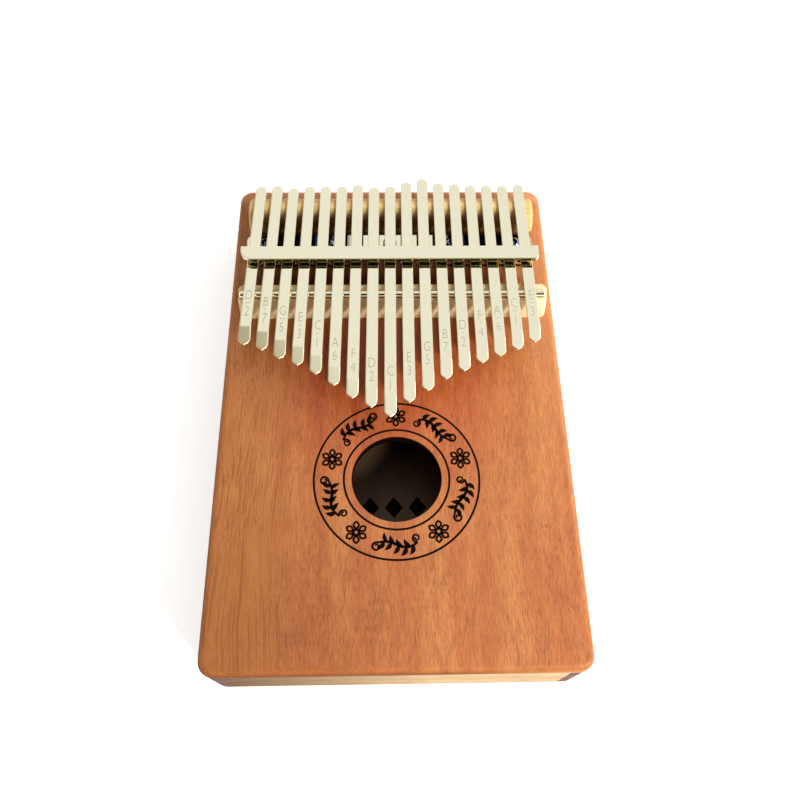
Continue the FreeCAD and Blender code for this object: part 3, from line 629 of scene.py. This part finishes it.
def dress_cad_nodes(looks):
    dress("top_plate", looks["top"])
    dress("back_plate", looks["back"])
    for side in ("left", "right"):
        dress("side_rail_" + side, looks["rail"])
    for end in ("front", "rear"):
        dress("end_rail_" + end, looks["pale"])
        dress(end + "_bridge", looks[end])
    dress("clamp_brace", looks["pale"])
    dress("bridge_rod", looks["rod"])
    dress("tine_clamp", looks["clamp"])
    for number in range(1, SCREW_COUNT + 1):
        dress("clamp_screw_%d" % number, looks["screw"])


# ---------------------------------------------------------------- meshes

def add_object(name, data):
    """Put an object with the given data in the scene."""
    made = bpy.data.objects.new(name, data)
    bpy.context.scene.collection.objects.link(made)
    return made


def make_object(name, vertices, faces, materials, slots=None, smooth_angle=40.0):
    """Mesh object with smooth shading up to an angle."""
    mesh = bpy.data.meshes.new(name)
    mesh.from_pydata([tuple(v) for v in vertices], [], faces)
    for material in materials:
        mesh.materials.append(material)
    if slots:
        mesh.polygons.foreach_set("material_index", slots)
    mesh.polygons.foreach_set("use_smooth", [True] * len(mesh.polygons))
    mesh.set_sharp_from_angle(angle=math.radians(smooth_angle))
    mesh.update()
    return add_object(name, mesh)


def slab(points, flat_faces, low, high):
    """Closed thin solid over flat faces seen from above: its vertices and faces."""
    count = len(points)
    vertices = [(x, y, low) for x, y in points] + [(x, y, high) for x, y in points]
    faces = []
    edges = {}
    for face in flat_faces:
        faces.append(tuple(count + index for index in face))
        faces.append(tuple(reversed(face)))
        for index, vertex in enumerate(face):
            edges[(vertex, face[(index + 1) % len(face)])] = True
    for first, second in edges:
        if (second, first) not in edges:
            faces.append((first, second, count + second, count + first))
    return vertices, faces


def shifted(faces, first):
    """Faces whose vertices come after a number of others."""
    return [tuple(first + index for index in face) for face in faces]


def turned(along, across, angle, x=0.0, y=0.0):
    """Point at a distance along and across a direction, from a place."""
    return (x + along * math.cos(angle) - across * math.sin(angle),
            y + along * math.sin(angle) + across * math.cos(angle))


def circle(radius, x, y, steps):
    return [turned(radius, 0.0, 2.0 * math.pi * step / steps, x, y) for step in range(steps)]


def disc(radius, x, y, steps=10):
    return circle(radius, x, y, steps), [tuple(range(steps))]


def ribbon(path, widths, closed=False):
    """Strip that follows a path, with a width at each of its points."""
    points, faces = [], []
    count = len(path)
    for index, (x, y) in enumerate(path):
        before = path[index - 1] if index or closed else path[0]
        after = path[(index + 1) % count] if index < count - 1 or closed else path[-1]
        tangent = Vector((after[0] - before[0], after[1] - before[1])).normalized()
        half = widths[index] / 2.0
        points.append((x - tangent.y * half, y + tangent.x * half))
        points.append((x + tangent.y * half, y - tangent.x * half))
    for index in range(count if closed else count - 1):
        following = (index + 1) % count
        faces.append((2 * index, 2 * index + 1, 2 * following + 1, 2 * following))
    return points, faces


def loop(path, width):
    """Closed line of one width."""
    return ribbon(path, [width] * len(path), closed=True)


# ---------------------------------------------------------------- tines

def blade_stations(tail, tongue):
    """Half widths along a tine, from its round rear end to its tip: (place along, half width)."""
    stations = []
    flat_start = tail - TINE_HALF_WIDTH
    for step in range(TAIL_STEPS + 1):
        angle = math.radians(90.0 - TAIL_ARC * step / TAIL_STEPS)
        half = max(TINE_HALF_WIDTH * math.cos(angle), LEAST_HALF_WIDTH)
        stations.append((flat_start + TINE_HALF_WIDTH * math.sin(angle), half))
    flat_end = TIP_OUTLINE[0][0] * MM - tongue
    steps = int((flat_start - flat_end) / STATION_GAP)
    places = [flat_start + (flat_end - flat_start) * step / steps for step in range(1, steps)]
    arc = TIP_BEND_RADIUS * TIP_BEND
    places += [TIP_BEND_LENGTH - tongue + arc * (step / BEND_STEPS - 0.5)
               for step in range(BEND_STEPS + 1)]
    stations += [(place, TINE_HALF_WIDTH) for place in sorted(places, reverse=True)]
    stations += [(back * MM - tongue, half * MM) for back, half in TIP_OUTLINE]
    return stations


def blade_point(blade, across, along, height):
    """Point in the frame from a tine's own coordinates; the tip bends down on a small arc."""
    hinge, tongue, turn = blade
    start = -(tongue - TIP_BEND_LENGTH)
    half_arc = TIP_BEND_RADIUS * TIP_BEND / 2.0
    past = start - along + half_arc
    if past <= 0.0:
        y, z = along, height
    else:
        bent = min(past, 2.0 * half_arc)
        angle = bent / TIP_BEND_RADIUS
        beyond = past - bent
        y = start + half_arc - (TIP_BEND_RADIUS + height) * math.sin(angle) - beyond * math.cos(angle)
        z = height * math.cos(angle) - TIP_BEND_RADIUS * (1.0 - math.cos(angle)) - beyond * math.sin(angle)
    attitude = Matrix.Rotation(turn, 3, "Z") @ Matrix.Rotation(-TINE_SLOPE, 3, "X")
    return hinge + attitude @ Vector((across, y, z))


def outline_normals(outline):
    """Unit vectors that point inwards from the points of a closed outline."""
    normals = []
    for index in range(len(outline)):
        before, after = outline[index - 1], outline[(index + 1) % len(outline)]
        tangent = Vector((after[0] - before[0], after[1] - before[1])).normalized()
        normals.append(Vector((-tangent.y, tangent.x)))
    return normals


def blade_rings(stations):
    """Rings of points round a tine in its own coordinates, one for each step of its section."""
    outline = [(-half, along) for along, half in stations]
    outline += [(half, along) for along, half in reversed(stations)]
    normals = outline_normals(outline)
    points = []
    for inset, height in TINE_SECTION:
        for (across, along), normal in zip(outline, normals):
            limit = min(inset * MM, abs(across) * NARROW_SHARE + NARROW_GAP)
            points.append((across + normal.x * limit, along + normal.y * inset * MM, height * MM))
    return points


def blade_faces(station_count):
    """Faces between a tine's rings and over its two broad sides, with their material slots."""
    count = 2 * station_count
    last = (len(TINE_SECTION) - 1) * count
    faces = []
    for ring in range(0, last, count):
        for index in range(count):
            following = (index + 1) % count
            faces.append((ring + index, ring + count + index,
                          ring + count + following, ring + following))
    slots = [EDGE] * (len(faces) - count) + [BRIGHT] * count
    for index in range(station_count - 1):
        mirror, mirror_next = count - 1 - index, count - 2 - index
        faces.append((index, index + 1, mirror_next, mirror))
        faces.append((last + mirror, last + mirror_next, last + index + 1, last + index))
        slots += [SHADED_UNDERSIDE, BRIGHT]
    return faces, slots


def letter_shape(text):
    """Points and faces of one thin letter or digit, centred on its place."""
    curve = bpy.data.curves.new("letter", "FONT")
    curve.body = text
    curve.align_x = "CENTER"
    curve.offset = LETTER_THINNING
    curve.resolution_u = 3
    holder = add_object("letter", curve)
    bpy.context.view_layer.update()
    mesh = bpy.data.meshes.new_from_object(holder.evaluated_get(bpy.context.evaluated_depsgraph_get()))
    low = min(v.co.y for v in mesh.vertices)
    high = max(v.co.y for v in mesh.vertices)
    scale = LETTER_HEIGHT / (high - low)
    points = [(v.co.x * scale * LETTER_NARROWING, (v.co.y - (low + high) / 2.0) * scale)
              for v in mesh.vertices]
    faces = [tuple(p.vertices) for p in mesh.polygons]
    bpy.data.objects.remove(holder)
    bpy.data.curves.remove(curve)
    bpy.data.meshes.remove(mesh)
    return points, faces


def mark_shapes(mark, slip):
    """Flat shapes of a tine's note mark as (points, faces), placed by their distance from the tip."""
    letter, dots, digit = mark
    places = PLAIN_PLACES if dots == " " else DOTTED_PLACES
    shapes = []
    for text, place in zip((letter, digit), places):
        points, faces = letter_shape(text)
        shapes.append(([(x, y + place + slip) for x, y in points], faces))
    for column in DOT_COLUMNS[dots]:
        shapes.append(disc(DOT_RADIUS, column, DOTS_PLACE + slip))
    return shapes


def make_tine(number, looks):
    """One continuous blade with its note mark, laid out from where the CAD model has its hinge."""
    name = "tine_%02d" % number
    hinge = Vector(JOINTS[name + "_pluck"]["pos_m"])
    turn = ROW_TURN + ROW_FAN * (number - MIDDLE_TINE)
    tongue_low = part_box(name)[0]
    tail_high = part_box(name + "_tail")[1]
    bent = TIP_BEND_LENGTH * math.cos(TIP_BEND - TINE_SLOPE)
    tongue = (hinge.y - tongue_low.y - bent) / math.cos(TINE_SLOPE) + TIP_BEND_LENGTH
    tail = (tail_high.y - hinge.y) / math.cos(TINE_SLOPE)
    blade = (hinge, tongue, turn)

    stations = blade_stations(tail, tongue)
    points = [blade_point(blade, *p) for p in blade_rings(stations)]
    faces, slots = blade_faces(len(stations))
    sunk, raised = TINE_HALF_THICKNESS - ENGRAVING_DEPTH, TINE_HALF_THICKNESS + MARK_PROUD
    for shape, flat_faces in mark_shapes(NOTE_MARKS[number - 1], MARK_SLIPS[number - 1] * MM):
        solid, solid_faces = slab(shape, flat_faces, sunk, raised)
        faces += shifted(solid_faces, len(points))
        slots += [MARKED] * len(solid_faces)
        points += [blade_point(blade, across, from_tip - tongue, height)
                   for across, from_tip, height in solid]
    finishes = [looks["tine"], looks["edge"], looks["under"], looks["mark"]]
    piece = make_object(name + "_blade", points, faces, finishes, slots)
    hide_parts(name, name + "_tail")
    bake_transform(piece)


# ---------------------------------------------------------------- rosette

def flat_piece(name, shapes, base, material):
    """Thin inlay in a surface: shapes are (points, faces) seen from above."""
    vertices, faces = [], []
    for points, flat_faces in shapes:
        solid, solid_faces = slab(points, flat_faces, base - ENGRAVING_DEPTH, base + ENGRAVING_PROUD)
        faces += shifted(solid_faces, len(vertices))
        vertices += solid
    piece = make_object(name, vertices, faces, [material], smooth_angle=30.0)
    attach(piece, ROOT)


def petal_path(turn, steps=20):
    """Closed pointed petal from near the flower's middle outwards, turned by an angle."""
    path = []
    for step in range(steps):
        share = 2.0 * step / steps
        side = 1.0 if share <= 1.0 else -1.0
        share = min(share, 2.0 - share)
        across = side * PETAL_WIDTH / 2.0 * math.sin(math.pi * share ** PETAL_FULLNESS)
        path.append(turned(PETAL_START + PETAL_LENGTH * share, across, turn))
    return path


def flower_shapes():
    """Outlined pointed petals round a thick ring."""
    shapes = []
    for petal in range(PETAL_COUNT):
        path = petal_path(math.radians(360.0 / PETAL_COUNT * (petal + 0.5)))
        shapes.append(loop(path, PETAL_LINE))
    shapes.append(loop(circle(FLOWER_RING_RADIUS, 0.0, 0.0, FLOWER_RING_STEPS), FLOWER_RING_LINE))
    return shapes


def leaf_shape(x, y, turn, steps=9):
    """Pointed leaf as a strip that swells and narrows."""
    path, widths = [], []
    for step in range(steps):
        share = step / (steps - 1)
        path.append(turned(LEAF_LENGTH * share, LEAF_BOW * math.sin(math.pi * share), turn, x, y))
        widths.append(max(LEAF_WIDTH * math.sin(math.pi * share ** LEAF_FULLNESS), LEAF_LEAST_WIDTH))
    return ribbon(path, widths)


def curl_shape(side):
    """Spiral at one end of a sprig's stem, which narrows inwards."""
    path, widths = [], []
    for step in range(CURL_STEPS):
        share = step / (CURL_STEPS - 1)
        angle = side * (share * math.radians(CURL_TURN) - math.pi / 2.0)
        radius = CURL_RADIUS * (1.0 - CURL_SHRINK * share)
        path.append(turned(radius, 0.0, angle, side * SPRIG_REACH, side * CURL_RADIUS))
        widths.append(CURL_LINE - CURL_THINNING * share)
    return ribbon(path, widths)


def stem_height(share):
    """Height of a sprig's waving stem at a share of its length."""
    return SPRIG_WAVE * math.sin(2.0 * math.pi * share)


def sprig_shapes():
    """Leafy scroll: a waving stem with curled ends, leaves on both sides and berries."""
    stem, widths = [], []
    for step in range(SPRIG_STEPS + 1):
        share = step / SPRIG_STEPS
        stem.append((SPRIG_REACH * (2.0 * share - 1.0), stem_height(share)))
        widths.append(STEM_LINE + STEM_SWELL * math.sin(math.pi * share))
    shapes = [ribbon(stem, widths), curl_shape(-1.0), curl_shape(1.0)]
    for place, turn in SPRIG_LEAVES:
        share = (place * MM / SPRIG_REACH + 1.0) / 2.0
        shapes.append(leaf_shape(place * MM, stem_height(share), math.radians(turn)))
    for x, y in SPRIG_BERRIES:
        shapes.append(disc(BERRY_RADIUS, x * MM, y * MM))
    return shapes


def round_ring(shapes, degrees):
    """Lay flat shapes on the rosette's middle circle, upright outwards, bent to its curve."""
    laid = []
    for points, faces in shapes:
        moved = []
        for x, y in points:
            angle = math.radians(degrees) - x / ORNAMENT_RADIUS
            moved.append(turned(ORNAMENT_RADIUS + y, 0.0, angle, HOLE_CENTRE.x, HOLE_CENTRE.y))
        laid.append((moved, faces))
    return laid


def beside_hole(shapes, degrees):
    """Lay flat shapes on the rosette's middle circle without turning them."""
    right, up = turned(ORNAMENT_RADIUS, 0.0, math.radians(degrees), HOLE_CENTRE.x, HOLE_CENTRE.y)
    return [([(x + right, y + up) for x, y in points], faces) for points, faces in shapes]


def make_rosette(looks):
    rings = [loop(circle(radius, HOLE_CENTRE.x, HOLE_CENTRE.y, RING_STEPS), RING_LINE)
             for radius in RING_RADII]
    flat_piece("rosette_rings", rings, BOARD_TOP, looks["burnt"])
    flowers, sprigs = [], []
    pitch = 360.0 / ORNAMENT_COUNT
    for index in range(ORNAMENT_COUNT):
        flowers += beside_hole(flower_shapes(), 90.0 + pitch * index)
        sprigs += round_ring(sprig_shapes(), 90.0 + pitch * (index - 0.5))
    flat_piece("rosette_flowers", flowers, BOARD_TOP, looks["burnt"])
    flat_piece("rosette_sprigs", sprigs, BOARD_TOP, looks["burnt"])


def make_inner_ornament(looks):
    """Plain lozenge border printed on the back board, seen through the sound hole."""
    shapes = []
    half_width, half_height = LOZENGE_HALF
    for column in (-1, 0, 1):
        x = column * LOZENGE_GAP
        lozenge = [(x, LOZENGE_MIDDLE - half_height), (x + half_width, LOZENGE_MIDDLE),
                   (x, LOZENGE_MIDDLE + half_height), (x - half_width, LOZENGE_MIDDLE)]
        shapes.append((lozenge, [(0, 1, 2, 3)]))
    line = [(side * LINE_HALF_LENGTH, LOZENGE_MIDDLE - LINE_DROP) for side in (-1, 1)]
    shapes.append(ribbon(line, [LINE_WIDTH, LINE_WIDTH]))
    flat_piece("inner_ornament", shapes, BACK_INSIDE, looks["burnt"])


# ---------------------------------------------------------------- stage

def make_floor(looks):
    corners = [(FLOOR_REACH * x, FLOOR_REACH * y, -FLOOR_GAP)
               for x, y in ((-1, -1), (1, -1), (1, 1), (-1, 1))]
    floor = make_object("floor", corners, [(0, 1, 2, 3)], [looks["floor"]])


def make_lamp(name, place, target, size, watts, tone):
    """Soft rectangular lamp that faces its target."""
    lamp = bpy.data.lights.new(name, "AREA")
    lamp.shape = "RECTANGLE"
    lamp.size, lamp.size_y = size
    lamp.energy = watts
    lamp.color = tone
    holder = add_object(name, lamp)
    holder.location = place
    holder.rotation_mode = "QUATERNION"
    holder.rotation_quaternion = (Vector(target) - Vector(place)).to_track_quat("-Z", "Y")


def make_sky():
    """White tent: dimmer and warmer high up on the left, dimmer in front, dark at the camera."""
    world = bpy.data.worlds.new("studio")
    world.use_nodes = True
    sky = Nodes(world.node_tree)
    direction = sky.add("ShaderNodeTexCoord").outputs["Generated"]

    def fade(axis, span, levels):
        """Value that goes smoothly between two levels as the view turns towards an axis."""
        lean = sky.vector_math("DOT_PRODUCT", direction, axis, "Value")
        return sky.remap(lean, *span, *levels, kind="SMOOTHSTEP")

    right = fade(LEFT_TO_RIGHT, RIGHT_SPAN, (0.0, 1.0))
    low = fade(UPWARDS, HIGH_SPAN, (1.0, 0.0))
    open_sky = sky.math("MAXIMUM", right, low)
    front = fade(REARWARDS, FRONT_SPAN, (FRONT_DIMNESS, 1.0))
    camera = fade(TOWARDS_CAMERA, CAMERA_SPAN, (1.0, CAMERA_DIMNESS))
    horizon = fade(UPWARDS, HORIZON_SPAN, (1.0, 0.0))

    left = sky.math("ADD", sky.product(open_sky, 1.0 - LEFT_DIMNESS), LEFT_DIMNESS)
    level = sky.product(left, SKY_LEVEL, front, camera)
    background = sky.tree.nodes["Background"]
    sky.set(background, "Strength", sky.math("MAXIMUM", level, horizon))
    sky.set(background, "Color", sky.mix(open_sky, LEFT_SKY_TONE, WHITE))
    bpy.context.scene.world = world


def make_camera():
    camera = bpy.data.cameras.new("camera")
    camera.sensor_width = CAMERA_SENSOR
    camera.lens = CAMERA_LENS
    camera.clip_start = CAMERA_NEAR
    attitude = Matrix.Translation(CAMERA_PLACE)
    for degrees, axis in CAMERA_TURNS:
        attitude = attitude @ Matrix.Rotation(math.radians(degrees), 4, axis)
    holder = add_object("camera", camera)
    holder.matrix_world = attitude
    bpy.context.scene.camera = holder


def main():
    looks = make_materials()
    dress_cad_nodes(looks)
    for number in range(1, TINE_COUNT + 1):
        make_tine(number, looks)
    make_rosette(looks)
    make_inner_ornament(looks)
    make_floor(looks)
    for lamp in LAMPS:
        make_lamp(*lamp)
    make_sky()
    make_camera()
    view = bpy.context.scene.view_settings
    view.view_transform = "Standard"
    view.look = "Medium High Contrast"


main()
